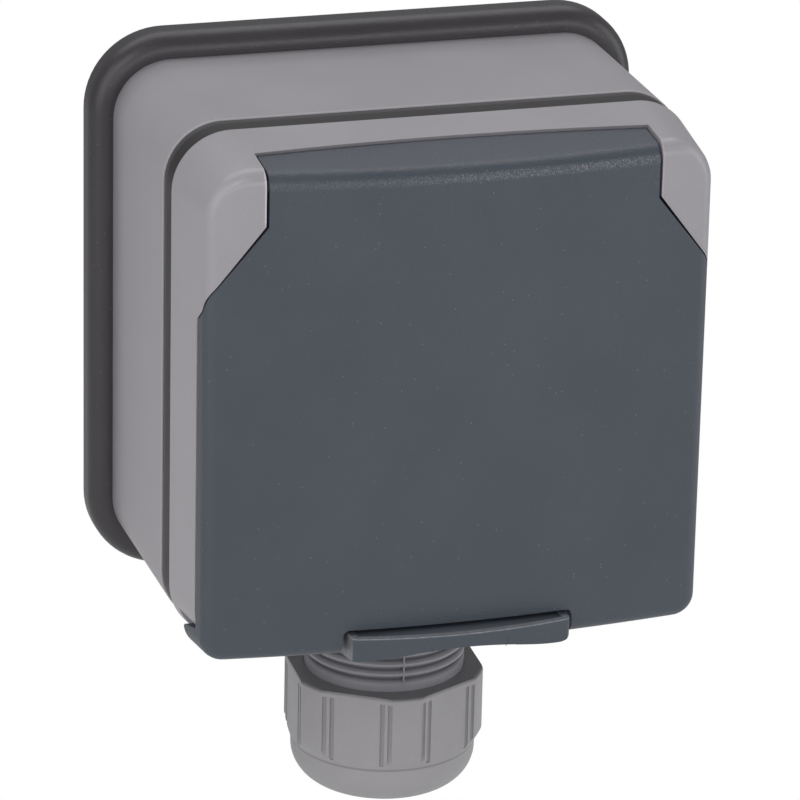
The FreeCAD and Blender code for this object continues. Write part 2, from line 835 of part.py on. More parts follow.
outline(made, [(-FAR, -FAR), (FAR, -FAR), (FAR, S.shoulder_foot_z), right[2], right[1], right[0],
               (right[0][0], FAR), (left[0][0], FAR), left[0], left[1], left[2],
               (-FAR, S.shoulder_foot_z)])
pad(lid_zone, made, 30.0)
cover_hollow = joined("Cut", "cover_room", hollow_form, trough_shell, step_shell)
cover_lip = new_body("cover_lip")
made = sketch(cover_lip, "front", web_front)
rounded_box(made, lip_x - 0.05, lip_z - 0.05, lip_corner)
pad(cover_lip, made, cover_base - web_front + 1.6)
made = sketch(cover_lip, "front", web_front)
rounded_box(made, inner_x, inner_z, inner_corner)
pocket(cover_lip, made, 20.0, ahead=True)
shell = joined("Cut", "cover_shell", cover_outer, cover_hollow)
seat_rear = S.well_front - S.flange_thick
additions = [cover_lip, post("collar", 0.0, S.socket_z, S.collar_radius, S.plate_rear,
                             S.collar_front)]
for side in (-1, 1):
    for height in (S.cover_screw_high, -S.cover_screw_z):
        additions.append(post("cover_tube", side * S.cover_screw_x, height, S.post_radius,
                              S.post_front, S.plate_rear + 0.5))
    additions.append(post("insert_post", side * S.insert_screw_x, S.socket_z, S.insert_post,
                          S.insert_rear, S.plate_rear + 0.5))
solid_cover = doc.addObject("Part::MultiFuse", "cover_solid")
solid_cover.Shapes = [joined("Cut", "cover_front", shell, lid_zone, step)] + additions
doc.recompute()
well_outer = S.well_radius + S.well_wall
cuts = [trough,
        post("insert_bore", 0.0, S.socket_z, well_outer + 0.2, 40.0, 80.0),
        post("insert_seat", 0.0, S.socket_z, S.flange_radius + 0.05, seat_rear, 80.0),
        slab("catch_window", -S.catch_half, S.catch_half, 50.0, 80.0, -S.catch_low,
             -S.catch_top)]
head_seat = S.plate_front - 2.0
for side in (-1, 1):
    for height in (S.cover_screw_high, -S.cover_screw_z):
        x = side * S.cover_screw_x
        cuts.append(post("screw_way", x, height, S.cover_screw_radius + 0.15, 40.0, 80.0))
        cuts.append(post("screw_seat", x, height, S.cover_screw_head + 0.2, head_seat, 80.0))
    cuts.append(post("insert_thread", side * S.insert_screw_x, S.socket_z,
                     S.insert_screw_radius + 0.03, 40.0, S.plate_rear - 1.0))
inner_face = S.hinge_half + S.gap
pin_end = inner_face + S.pin_in_cover
for side in (-1, 1):
    x0, x1 = (inner_face, pin_end) if side > 0 else (-pin_end, -inner_face)
    cuts.append(rod("pin_hole", S.hinge_depth, S.hinge_z, S.pin_radius, x0, x1))
    x1 = inner_face + S.spring_room
    x0, x1 = (inner_face - 0.5, x1) if side > 0 else (-x1, 0.5 - inner_face)
    cuts.append(rod("spring_pocket", S.hinge_depth, S.hinge_z, S.spring_bore, x0, x1))
front_cover = joined("Cut", "front_cover", solid_cover, *cuts)
node("front_cover", front_cover)

# Screws that hold the cover on the box, and the insert on the cover


def screw(label, x, z, shaft, d0, head_d, head_radius, head_thick, slot, head_front=True):
    """A round-head screw along the depth. It runs from d0 to the head's seat at head_d."""
    body = new_body(label)
    made = sketch(body, "front", head_d)
    circle(made, x, z, head_radius)
    pad(body, made, head_thick, back=not head_front)
    made = sketch(body, "front", head_d)
    circle(made, x, z, shaft)
    pad(body, made, (head_d - d0) if head_front else (Size.of(d0) - head_d), back=head_front)
    far = head_d + head_thick if head_front else head_d - head_thick
    made = sketch(body, "front", far)
    long, thin = slot
    plain_box(made, x - long, x + long, z - thin, z + thin)
    pocket(body, made, Size.of(head_thick) * 0.5, ahead=not head_front)
    made = sketch(body, "front", far)
    plain_box(made, x - thin, x + thin, z - long, z + long)
    pocket(body, made, Size.of(head_thick) * 0.5, ahead=not head_front)
    return body


screws = []
for side in (-1, 1):
    for height in (S.cover_screw_high, -S.cover_screw_z):
        screws.append(screw("cover_screw", side * S.cover_screw_x, height, S.cover_screw_radius,
                            S.post_front - S.cover_screw_grip, head_seat, S.cover_screw_head,
                            1.9, (1.9, 0.35)))
node("cover_screws", group("cover_screws", *screws))
screws = [screw("insert_screw", side * S.insert_screw_x, S.socket_z, S.insert_screw_radius,
                S.plate_rear - 2.5, S.insert_rear - S.base_rim, 2.4, 1.6, (1.5, 0.3),
                head_front=False) for side in (-1, 1)]
node("insert_screws", group("insert_screws", *screws))

# Lid: outer form less its hollow, trimmed along the joint with the cover

lid_outer = front_form("lid_outer", cover_base, S.box_half_x, S.lid_top, S.lid_bottom,
                       S.box_corner, S.lid_corner, S.face_crown, S.face_bow, S.face_round)
for side in (-1, 1):
    made = sketch(lid_outer, "front", S.face_crown + 8.0)
    shoulder_zone(made, Size.of(0.0), side)
    pocket(lid_outer, made, 40.0)
inset = S.lid_wall
lid_hollow = front_form("lid_hollow", cover_base - 2.0, S.box_half_x - inset + 0.2,
                        S.lid_top - inset + 0.2, S.lid_bottom - inset + 0.2,
                        S.box_corner - inset, S.lid_corner - inset, S.face_crown - inset,
                        S.face_bow - inset)
for side in (-1, 1):
    made = sketch(lid_hollow, "front", S.face_crown + 8.0)
    shoulder_zone(made, -inset, side)
    pocket(lid_hollow, made, 40.0)
tail = barrel("lid_tail", S.barrel_mid - S.tail_gap, S.barrel_end - S.tail_gap, reach)
trim = new_body("lid_trim")
made = sketch(trim, "side")
slant = S.lid_skirt_edge
outline(made, [(0.0, FAR), (-S.lid_joint, FAR), (-S.lid_joint, -S.notch_top, 0.6),
               (-S.lid_skirt_back, -slant - 0.9, 1.0), (-S.lid_skirt_back, -FAR), (0.0, -FAR)])
pad(trim, made, 2 * FAR, both=True)
lid_trim = joined("Cut", "lid_rear", trim, tail)
lid_room = doc.addObject("Part::MultiFuse", "lid_keep")
rib_x = S.latch_arm_half + 2.9
ribs = []
for side in (-1, 1):
    x0, x1 = (rib_x, rib_x + S.latch_rib) if side > 0 else (-rib_x - S.latch_rib, -rib_x)
    ribs.append(slab("latch_rib", x0, x1, S.latch_pivot_depth - 2.2, S.face_crown - inset + 1.0,
                     -S.notch_top, -S.latch_pivot_z + 2.8))
    x0, x1 = (S.notch_half, S.notch_half + 1.4) if side > 0 else (-S.notch_half - 1.4,
                                                                   -S.notch_half)
    ribs.append(slab("notch_rib", x0, x1, S.lid_joint + 0.4, S.face_crown - inset + 0.5,
                     -S.lid_bottom + 1.6, -S.latch_pivot_z + 2.8))
    x0, x1 = (inner_face - S.pin_in_lid - S.gap, S.hinge_half)
    if side < 0:
        x0, x1 = -x1, -x0
    ribs.append(rod("hinge_boss", S.hinge_depth, S.hinge_z, S.hinge_boss, x0, x1))
seat = new_body("seal_seat")
made = sketch(seat, "front", S.lid_seal_front - 1.0)
circle(made, 0.0, S.socket_z, S.lid_seal_outer + S.seal_seat_land)
circle(made, 0.0, S.socket_z, S.lid_seal_inner - S.seal_seat_land)
pad(seat, made, S.face_crown - inset + 0.2 - S.lid_seal_front + 1.0)
made = sketch(seat, "front", S.lid_seal_front - 1.0)
circle(made, 0.0, S.socket_z, S.lid_seal_outer)
circle(made, 0.0, S.socket_z, S.lid_seal_inner)
pocket(seat, made, 1.0, ahead=True)
lid_room.Shapes = ribs + [seat]
lid_inside = joined("Common", "lid_fittings", lid_room, lid_outer)
lid_walls = joined("Cut", "lid_walls", lid_outer, lid_hollow)
lid_solid = joined("Fuse", "lid_solid", lid_walls, lid_inside)
notch = new_body("latch_notch")
made = sketch(notch, "front", S.lid_skirt_back - 2.0)
wide = S.notch_half + S.notch_flare
outline(made, [(-S.notch_half, -S.notch_top, 1.0), (-wide, -S.lid_bottom), (-wide, -FAR),
               (wide, -FAR), (wide, -S.lid_bottom), (S.notch_half, -S.notch_top, 1.0)])
pad(notch, made, 40.0)
lid_cuts = [lid_trim, notch,
            rod("latch_pin_way", S.latch_pivot_depth, -S.latch_pivot_z, S.latch_pin,
                -rib_x - S.latch_rib, rib_x + S.latch_rib)]
for side in (-1, 1):
    x0, x1 = (inner_face - S.pin_in_lid - S.gap - 0.5, reach)
    if side < 0:
        x0, x1 = -x1, -x0
    lid_cuts.append(rod("hinge_pin_way", S.hinge_depth, S.hinge_z, S.pin_radius
                        + S.pin_clearance, x0, x1))
lid = joined("Cut", "lid", lid_solid, *lid_cuts)
node("lid", lid)

# Hinge pins and their springs

pins, springs = [], []
for side in (-1, 1):
    x0, x1 = (inner_face - S.pin_in_lid, pin_end) if side > 0 else (-pin_end, S.pin_in_lid
                                                                    - inner_face)
    pins.append(rod("hinge_pin", S.hinge_depth, S.hinge_z, S.pin_radius, x0, x1))
    x0 = inner_face + 0.3 if side > 0 else -inner_face - S.spring_room + 0.3
    springs.append(coil("lid_spring", S.spring_coil, S.spring_wire, S.spring_room - 0.6, 5,
                        x0, -S.hinge_depth, S.hinge_z, SIDEWAYS))
node("hinge_pins", group("hinge_pins", *pins))
node("lid_springs", group("lid_springs", *springs))

# Lid seal

lid_seal = new_body("lid_seal")
made = sketch(lid_seal, "front", S.lid_seal_front)
circle(made, 0.0, S.socket_z, S.lid_seal_outer)
circle(made, 0.0, S.socket_z, S.lid_seal_inner)
pad(lid_seal, made, S.lid_seal_front - S.collar_front - S.lid_seal_gap, back=True)
node("lid_seal", lid_seal)

# Latch: a bowed tongue in the lid's notch, an arm, an eye on the pin and a hook

tongue = new_body("latch_tongue")
made = sketch(tongue, "plan", -S.latch_foot)
bowed_side(made, S.latch_half, -S.latch_front, S.latch_bow, -S.latch_lip_back, bulge=-1)
pad(tongue, made, S.latch_foot - S.latch_top)
made = sketch(tongue, "side")
outline(made, [(-S.latch_lip_back, -S.latch_foot), (-S.latch_front - 1.0, -S.latch_low + 0.2),
               (-S.latch_front - 1.0, -FAR), (-S.latch_lip_back, -FAR)])
pocket(tongue, made, 2 * FAR, both=True)
front_v = -number(S.latch_front)
rounded(tongue, 1.0, lambda box, edge: box.ZLength > 2.0 and box.YMax < front_v + 4.0)
made = sketch(tongue, "front", S.latch_lip_back)
circle(made, 0.0, -S.latch_low + S.latch_arch - S.latch_arch_round, S.latch_arch_round)
pocket(tongue, made, 20.0, ahead=True)
made = sketch(tongue, "plan", -S.latch_top)
bowed_side(made, S.latch_half - S.latch_rim, S.latch_rim - S.latch_front, S.latch_bow,
           -S.latch_lip_back - S.latch_arm - 0.2, bulge=-1)
pocket(tongue, made, S.latch_scoop)
arm = slab("latch_arm", -S.latch_arm_half, S.latch_arm_half, S.latch_lip_back,
           S.latch_lip_back + S.latch_arm, -S.latch_top - 1.0, -S.latch_pivot_z)
eye = rod("latch_eye", S.latch_pivot_depth, -S.latch_pivot_z, S.latch_eye,
          -S.latch_arm_half, S.latch_arm_half)
hook_arm = slab("latch_hook", -S.hook_half, S.hook_half, S.hook_back, S.latch_lip_back + 0.5,
                -S.hook_z - S.hook_thick / 2, -S.hook_z + S.hook_thick / 2)
barb = slab("latch_barb", -S.hook_half, S.hook_half, S.hook_back, S.hook_back + 1.5,
            -S.hook_z, -S.catch_top - 0.25)
latch_solid = doc.addObject("Part::MultiFuse", "latch_solid")
latch_solid.Shapes = [tongue, arm, eye, hook_arm, barb]
doc.recompute()
eye_way = rod("latch_eye_way", S.latch_pivot_depth, -S.latch_pivot_z,
              S.latch_pin + S.pin_clearance, -20.0, 20.0)
lid_latch = joined("Cut", "lid_latch", latch_solid, eye_way)
node("lid_latch", lid_latch)
pin_half = rib_x + S.latch_rib
node("latch_pin", rod("latch_pin", S.latch_pivot_depth, -S.latch_pivot_z, S.latch_pin,
                      -pin_half, pin_half))
node("latch_spring", coil("latch_spring", S.spring_coil, S.spring_wire, 2.3, 4,
                          S.latch_arm_half + 0.3, -S.latch_pivot_depth, -S.latch_pivot_z,
                          SIDEWAYS))

# Socket insert: flange, well and pierced floor

insert = new_body("socket_insert")
made = sketch(insert, "front", seat_rear)
circle(made, 0.0, S.socket_z, S.flange_radius)
pad(insert, made, S.flange_thick)
made = sketch(insert, "front", S.insert_rear)
circle(made, 0.0, S.socket_z, well_outer)
pad(insert, made, seat_rear - S.insert_rear + 0.5)
made = sketch(insert, "front", S.well_front)
circle(made, 0.0, S.socket_z, S.well_radius)
pocket(insert, made, S.well_front - S.well_floor)
earth_z = S.socket_z + S.earth_offset
pin_x = S.pin_spacing / 2
made = sketch(insert, "front", S.well_floor)
circle(made, -pin_x, S.socket_z, S.pin_hole)
circle(made, pin_x, S.socket_z, S.pin_hole)
circle(made, 0.0, earth_z, S.earth_radius)
pocket(insert, made, S.floor_thick)
for side in (-1, 1):
    made = sketch(insert, "front", S.well_floor - 0.3)
    near, far = S.well_radius - 1.6, S.well_radius + 0.5
    x0, x1 = (near, far) if side > 0 else (-far, -near)
    plain_box(made, x0, x1, S.socket_z - 2.4, S.socket_z + 2.4)
    pad(insert, made, 12.0)
node("socket_insert", insert)

# Shutter behind the floor, with its return spring

shutter = new_body("shutter")
shutter_back = S.base_front + 0.2
made = sketch(shutter, "front", shutter_back)
slot = S.earth_radius + 0.2
slot_low = earth_z - S.earth_radius - 0.2
outline(made, [(-S.shutter_half_x, S.socket_z - S.shutter_low),
               (S.shutter_half_x, S.socket_z - S.shutter_low),
               (S.shutter_half_x, S.socket_z + S.shutter_top, 1.0),
               (slot, S.socket_z + S.shutter_top), (slot, slot_low), (-slot, slot_low),
               (-slot, S.socket_z + S.shutter_top),
               (-S.shutter_half_x, S.socket_z + S.shutter_top, 1.0)])
pad(shutter, made, S.shutter_thick)
made = sketch(shutter, "front", shutter_back)
for side in (-1, 1):
    circle(made, side * pin_x, S.socket_z + S.shutter_travel, S.pin_hole)
pocket(shutter, made, 5.0, ahead=True)
node("shutter", shutter)
spring_top = S.socket_z - S.shutter_low - 0.05
shutter_spring = coil("shutter_spring", S.return_coil, S.return_wire, S.return_length, 11, 0.0,
                      -(S.base_front + S.base_rim / 2), spring_top - S.return_length)
node("shutter_spring", shutter_spring)

# Contact carrier behind the insert

contact_base = new_body("contact_base")
made = sketch(contact_base, "front", S.base_front - 2.4)
circle(made, 0.0, S.socket_z, S.base_radius)
pad(contact_base, made, S.base_rim + 2.4)
made = sketch(contact_base, "front", S.base_front)
circle(made, 0.0, S.socket_z, S.base_radius - 1.6)
pocket(contact_base, made, 8.0, ahead=True)
for side in (-1, 1):
    made = sketch(contact_base, "front", S.base_front - 0.4)
    near = S.shutter_half_x + S.shutter_play
    x0, x1 = (near, near + 1.4) if side > 0 else (-near - 1.4, -near)
    plain_box(made, x0, x1, S.socket_z - 10.0, S.socket_z + 10.0)
    pad(contact_base, made, S.base_rim + 0.35)
    made = sketch(contact_base, "front", S.base_front)
    x0, x1 = (S.base_radius - 1.5, S.ear_half_x) if side > 0 else (-S.ear_half_x,
                                                                  1.5 - S.base_radius)
    plain_box(made, x0, x1, S.socket_z - S.ear_half_z, S.socket_z + S.ear_half_z)
    pad(contact_base, made, S.base_rim)
made = sketch(contact_base, "front", S.base_back)
block_x = S.terminal_x + 5.2
outline(made, [(-block_x, S.socket_z - S.terminal_drop - 5.2, 1.5),
               (block_x, S.socket_z - S.terminal_drop - 5.2, 1.5),
               (block_x, S.socket_z + 6.0, 1.5), (5.4, S.socket_z + 6.0),
               (5.4, S.socket_z + S.earth_terminal_z + 4.6, 1.5),
               (-5.4, S.socket_z + S.earth_terminal_z + 4.6, 1.5),
               (-5.4, S.socket_z + 6.0), (-block_x, S.socket_z + 6.0, 1.5)])
pad(contact_base, made, S.base_front - S.base_back - 0.2)
made = sketch(contact_base, "front", S.base_back)
for side in (-1, 1):
    circle(made, side * pin_x, S.socket_z, S.sleeve_outer + 0.05)
circle(made, 0.0, earth_z, S.earth_radius)
pocket(contact_base, made, 20.0, ahead=True)
made = sketch(contact_base, "front", S.base_back)
half = S.terminal_side / 2 + 0.1
for x, z in ((-S.terminal_x, -S.terminal_drop), (S.terminal_x, -S.terminal_drop),
             (0.0, S.earth_terminal_z)):
    plain_box(made, x - half, x + half, S.socket_z + z - half, S.socket_z + z + half)
pocket(contact_base, made, S.terminal_height + 0.6, ahead=True)
for side in (-1, 1):
    made = sketch(contact_base, "plan", S.socket_z - S.terminal_drop - 8.0)
    circle(made, side * S.terminal_x, -(S.base_back + S.wire_hole + 0.2), S.wire_hole)
    pocket(contact_base, made, 9.0, ahead=True)
made = sketch(contact_base, "plan", S.socket_z + S.earth_terminal_z + 8.0)
circle(made, 0.0, -(S.base_back + S.wire_hole + 0.2), S.wire_hole)
pocket(contact_base, made, 9.0)
made = sketch(contact_base, "front", S.base_front - 3.0)
for side in (-1, 1):
    circle(made, side * S.insert_screw_x, S.socket_z, S.insert_screw_radius + 0.15)
pocket(contact_base, made, 10.0, ahead=True)
node("contact_base", contact_base)

# Line contacts: slit sleeves with a strip to their terminals

strip_front = S.base_back
strip_back = S.base_back - S.strip_thick
for name, side in (("live_contact", 1), ("neutral_contact", -1)):
    contact = new_body(name)
    made = sketch(contact, "front", strip_back)
    term_x = side * S.terminal_x
    low = S.socket_z - S.terminal_drop
    x0 = side * pin_x - S.strip_half if side > 0 else term_x - S.strip_half
    x1 = term_x + S.strip_half if side > 0 else side * pin_x + S.strip_half
    plain_box(made, x0, x1, low - S.strip_half, S.socket_z + S.strip_half)
    pad(contact, made, S.strip_thick)
    made = sketch(contact, "front", strip_back)
    circle(made, side * pin_x, S.socket_z, S.sleeve_outer)
    pad(contact, made, S.base_front - 0.3 - strip_back)
    made = sketch(contact, "front", strip_back)
    circle(made, side * pin_x, S.socket_z, S.sleeve_inner)
    pocket(contact, made, 20.0, ahead=True)
    made = sketch(contact, "front", strip_front + 3.0)
    x = side * pin_x
    plain_box(made, x - S.sleeve_slit / 2, x + S.sleeve_slit / 2, S.socket_z - 5.0,
              S.socket_z + 5.0)
    pocket(contact, made, 20.0, ahead=True)
    made = sketch(contact, "front", strip_back)
    circle(made, term_x, low, S.terminal_screw_radius + 0.1)
    pocket(contact, made, S.strip_thick, ahead=True)
    node(name, contact)

# Earth pin with its strip

earth_pin = new_body("earth_pin")
made = sketch(earth_pin, "front", strip_front)
circle(made, 0.0, earth_z, S.earth_radius)
pad(earth_pin, made, S.well_floor + S.earth_length - strip_front)
rounded(earth_pin, 1.2, at_depth(S.well_floor + S.earth_length))
node("earth_pin", earth_pin)
earth_contact = new_body("earth_contact")
made = sketch(earth_contact, "front", strip_back)
top = S.socket_z + S.earth_terminal_z
plain_box(made, -S.strip_half, S.strip_half, earth_z - S.strip_half, top + S.strip_half)
pad(earth_contact, made, S.strip_thick)
made = sketch(earth_contact, "front", strip_back)
circle(made, 0.0, top, S.terminal_screw_radius + 0.1)
pocket(earth_contact, made, S.strip_thick, ahead=True)
node("earth_contact", earth_contact)

# Terminal clamps and screws

spots = [(-S.terminal_x, S.socket_z - S.terminal_drop),
         (S.terminal_x, S.socket_z - S.terminal_drop), (0.0, top)]
clamps, screws = [], []
for x, z in spots:
    clamp = new_body("terminal_clamp")
    made = sketch(clamp, "front", S.base_back + 2 * S.wire_hole)
    half = S.terminal_side / 2
    plain_box(made, x - half, x + half, z - half, z + half)
    pad(clamp, made, 3.6)
    made = sketch(clamp, "front", S.base_back + 2 * S.wire_hole)
    circle(made, x, z, S.terminal_screw_radius + 0.03)
    pocket(clamp, made, 8.0, ahead=True)
    clamps.append(clamp)
    screws.append(screw("terminal_screw", x, z, S.terminal_screw_radius, S.base_back + 7.4,
                        strip_back, S.terminal_screw_head, 1.8, (1.7, 0.35),
                        head_front=False))
node("terminal_clamps", group("terminal_clamps", *clamps))
node("terminal_screws", group("terminal_screws", *screws))

# Cable gland: turned parts about a vertical axis under the box


def turned_ring(label, profile):
    """A ring about the gland axis. The profile is (radius, distance below the box wall)."""
    body = new_body(label)
    made = sketch(body, "front", S.gland_depth, shift=(0.0, -S.box_half_z))
    outline(made, [(p[0], -Size.of(p[1])) + tuple(p[2:]) for p in profile])
    turned(body, made, "V_Axis")
    return body


def hex_form(label, flats, top, bottom, angle=0.0):
    """A hexagonal prism about the gland axis between two distances below the box wall."""
    made = doc.addObject("Part::Prism", label)
    made.Polygon = 6
    bind(made, "Circumradius", Size.of(flats) / math.sqrt(3.0))
    bind(made, "Height", Size.of(bottom) - top)
    turn = FreeCAD.Rotation(FreeCAD.Vector(0, 0, 1), angle)
    return place(made, 0.0, -S.gland_depth, -S.box_half_z - bottom, turn)


face_end = S.face_seal_thick
flange_end = face_end + S.gland_flange
seal_ring = turned_ring("gland_face_seal", [
    (S.entry_radius, 0.0), (S.face_seal_radius, 0.0), (S.face_seal_radius, face_end),
    (S.entry_radius, face_end)])
node("gland_face_seal", seal_ring)
profile = [(S.gland_bore, -S.entry_length), (S.entry_radius, -S.entry_length, 0.6),
           (S.entry_radius, face_end), (S.neck_radius, face_end),
           (S.neck_radius, flange_end + 0.2)]
rings = 6
for i in range(rings):
    start = flange_end + 0.2 + i * S.ring_pitch
    profile.append((S.neck_radius - S.ring_depth, start + S.ring_pitch * 0.2))
    profile.append((S.neck_radius - S.ring_depth, start + S.ring_pitch * 0.35))
    profile.append((S.neck_radius - S.ring_depth * 0.3, start + S.ring_pitch * 0.55))
    profile.append((S.neck_radius, start + S.ring_pitch * 0.7))
    profile.append((S.neck_radius, start + S.ring_pitch * 0.95))
profile.pop()
profile += [(S.neck_radius, S.neck_end), (S.bush_seat, S.neck_end),
            (S.bush_seat, S.bush_top), (S.gland_bore, S.bush_top)]
gland_core = turned_ring("gland_core", profile)
flange = turned_ring("gland_flange", [
    (S.entry_radius - 1.0, face_end), (S.flange_flats / 2 + 1.6, face_end, 0.8),
    (S.flange_flats / 2 + 1.6, flange_end, 0.8), (S.entry_radius - 1.0, flange_end)])
flange_hex = joined("Common", "gland_hex", flange,
                    hex_form("flange_hex", S.flange_flats, face_end - 1.0, flange_end + 1.0,
                             27.4))
neck_front = S.gland_depth + S.neck_radius
seam = slab("neck_seam", S.seam_x - S.seam_half, S.seam_x + S.seam_half, neck_front - 1.2,
            neck_front + S.seam_rise, -S.box_half_z - S.neck_end + 1.0,
            -S.box_half_z - flange_end + 0.5)
gland_body = joined("Fuse", "gland_body", gland_core, flange_hex, seam)
node("gland_body", gland_body)
wall_in = -S.box_wall
lock_form = hex_form("locknut_hex", S.locknut_flats, wall_in - S.locknut_thick, wall_in, 10.0)
lock_way = cylinder("locknut_way", S.entry_radius + 0.05, 20.0, 0.0, -S.gland_depth,
                    -S.box_half_z + 1.0)
node("gland_locknut", joined("Cut", "gland_locknut", lock_form, lock_way))
node("gland_sealing_bush", turned_ring("gland_sealing_bush", [
    (S.bush_bore, S.bush_top + 0.1), (S.bush_radius, S.bush_top + 0.1),
    (S.bush_radius, S.neck_end - 0.5), (S.bush_radius + 0.1, S.bush_low - 0.6, 0.3),
    (S.bush_radius - 1.6, S.bush_low), (S.bush_bore, S.bush_low)]))
slip_end = S.bush_low + S.slip_ring_thick
node("gland_slip_ring", turned_ring("gland_slip_ring", [
    (S.slip_ring_bore, S.bush_low + 0.02), (S.slip_ring_radius, S.bush_low + 0.02, 0.3),
    (S.slip_ring_radius, slip_end, 0.3), (S.slip_ring_bore, slip_end)]))
nut_in = S.neck_radius + S.nut_play
dome = S.nut_flats / 2 - 0.1
nut_turned = turned_ring("nut_turned", [
    (nut_in, S.nut_top), (S.nut_radius, S.nut_top, 0.5), (S.nut_radius, S.nut_corner),
    (dome, S.nut_shoulder), (dome, S.nut_dome, S.nut_round), (S.nut_mouth, S.nut_dome, 0.8),
    (S.nut_mouth, slip_end + 0.02), (nut_in, slip_end + 0.02)])
nut_hex = hex_form("nut_hex", S.nut_flats, S.nut_top - 1.0, S.nut_dome + 1.0, 27.4)
nut_blank = joined("Common", "nut_blank", nut_turned, nut_hex)
grooves = new_body("nut_grooves")
made = sketch(grooves, "plan", -S.nut_shoulder + 1.0)
for flat in range(6):
    angle = math.radians(27.4 + 30 + 60 * flat)
    for along in (-1, 1):
        for split in (-1, 1):
            run = along * (S.groove_place + split * S.groove_split)
            out = S.nut_flats / 2 - 0.05
            circle(made, out * math.cos(angle) - run * math.sin(angle),
                   out * math.sin(angle) + run * math.cos(angle), S.nut_groove)
pad(grooves, made, S.nut_shoulder - S.nut_top - S.groove_top - 1.0)
place(grooves, 0.0, -S.gland_depth, -S.box_half_z)
gland_nut = joined("Cut", "gland_nut", nut_blank, grooves)
node("gland_nut", gland_nut)

# Every object is checked, then each part is written to its own file

doc.recompute()
for thing in doc.Objects:
    if "Invalid" in thing.State or "Error" in thing.State:
        raise RuntimeError("%s is not built: %s" % (thing.Label, thing.getStatusString()))
os.makedirs("parts", exist_ok=True)
for thing in NODES:
    shape = thing.Shape
    if shape.isNull() or not shape.isValid() or not shape.Solids:
        raise RuntimeError("%s has no sound shape" % thing.Label)
for thing in NODES:
    name = thing.Label
    thing.Shape.exportStep("parts/%s.step" % name)
    print("%-20s %2d solids %9.1f mm3" % (name, len(thing.Shape.Solids), thing.Shape.Volume))
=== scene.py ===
import math

import bmesh
import bpy
from mathutils import Matrix, Vector


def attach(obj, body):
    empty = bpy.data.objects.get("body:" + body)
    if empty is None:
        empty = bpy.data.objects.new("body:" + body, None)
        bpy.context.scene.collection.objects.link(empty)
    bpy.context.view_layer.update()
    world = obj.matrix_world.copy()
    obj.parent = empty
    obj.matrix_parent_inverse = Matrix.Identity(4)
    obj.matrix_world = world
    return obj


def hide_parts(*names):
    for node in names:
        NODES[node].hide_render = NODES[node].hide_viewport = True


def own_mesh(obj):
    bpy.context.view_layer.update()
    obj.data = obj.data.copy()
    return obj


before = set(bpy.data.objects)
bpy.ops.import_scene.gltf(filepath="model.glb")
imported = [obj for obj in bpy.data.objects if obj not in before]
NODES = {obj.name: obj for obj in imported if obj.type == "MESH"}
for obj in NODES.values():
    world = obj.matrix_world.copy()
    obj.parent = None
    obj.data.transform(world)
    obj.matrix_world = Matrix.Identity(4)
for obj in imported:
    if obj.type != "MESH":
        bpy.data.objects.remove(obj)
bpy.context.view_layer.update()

# Shader values and finishes


class Value:
    """A shader value. Operators on it add the matching Math nodes."""

    def __init__(self, finish, socket):
        self.finish = finish
        self.socket = socket

    def math(self, operation, *values):
        return self.finish.add("Math", {"operation": operation}, values)

    def __add__(self, other):
        return self.math("ADD", self, other)

    def __radd__(self, other):
        return self.math("ADD", other, self)

    def __sub__(self, other):
        return self.math("SUBTRACT", self, other)

    def __rsub__(self, other):
        return self.math("SUBTRACT", other, self)

    def __mul__(self, other):
        return self.math("MULTIPLY", self, other)

    def __rmul__(self, other):
        return self.math("MULTIPLY", other, self)

    def __pow__(self, other):
        return self.math("POWER", self, other)

    def __rpow__(self, other):
        return self.math("POWER", other, self)

    def __abs__(self):
        return self.math("ABSOLUTE", self)

    def above(self, edge):
        return self.math("GREATER_THAN", self, edge)

    def between(self, low, high):
        """0 at low and below, 1 at high and above, and smooth in between."""
        return self.finish.add("MapRange", {"interpolation_type": "SMOOTHSTEP"},
                               {"Value": self, "From Min": low, "From Max": high})

    def band(self, low, low_full, high_full, high):
        """1 between the inner two levels, and 0 beyond the outer two."""
        return self.between(low, low_full) * (1.0 - self.between(high_full, high))


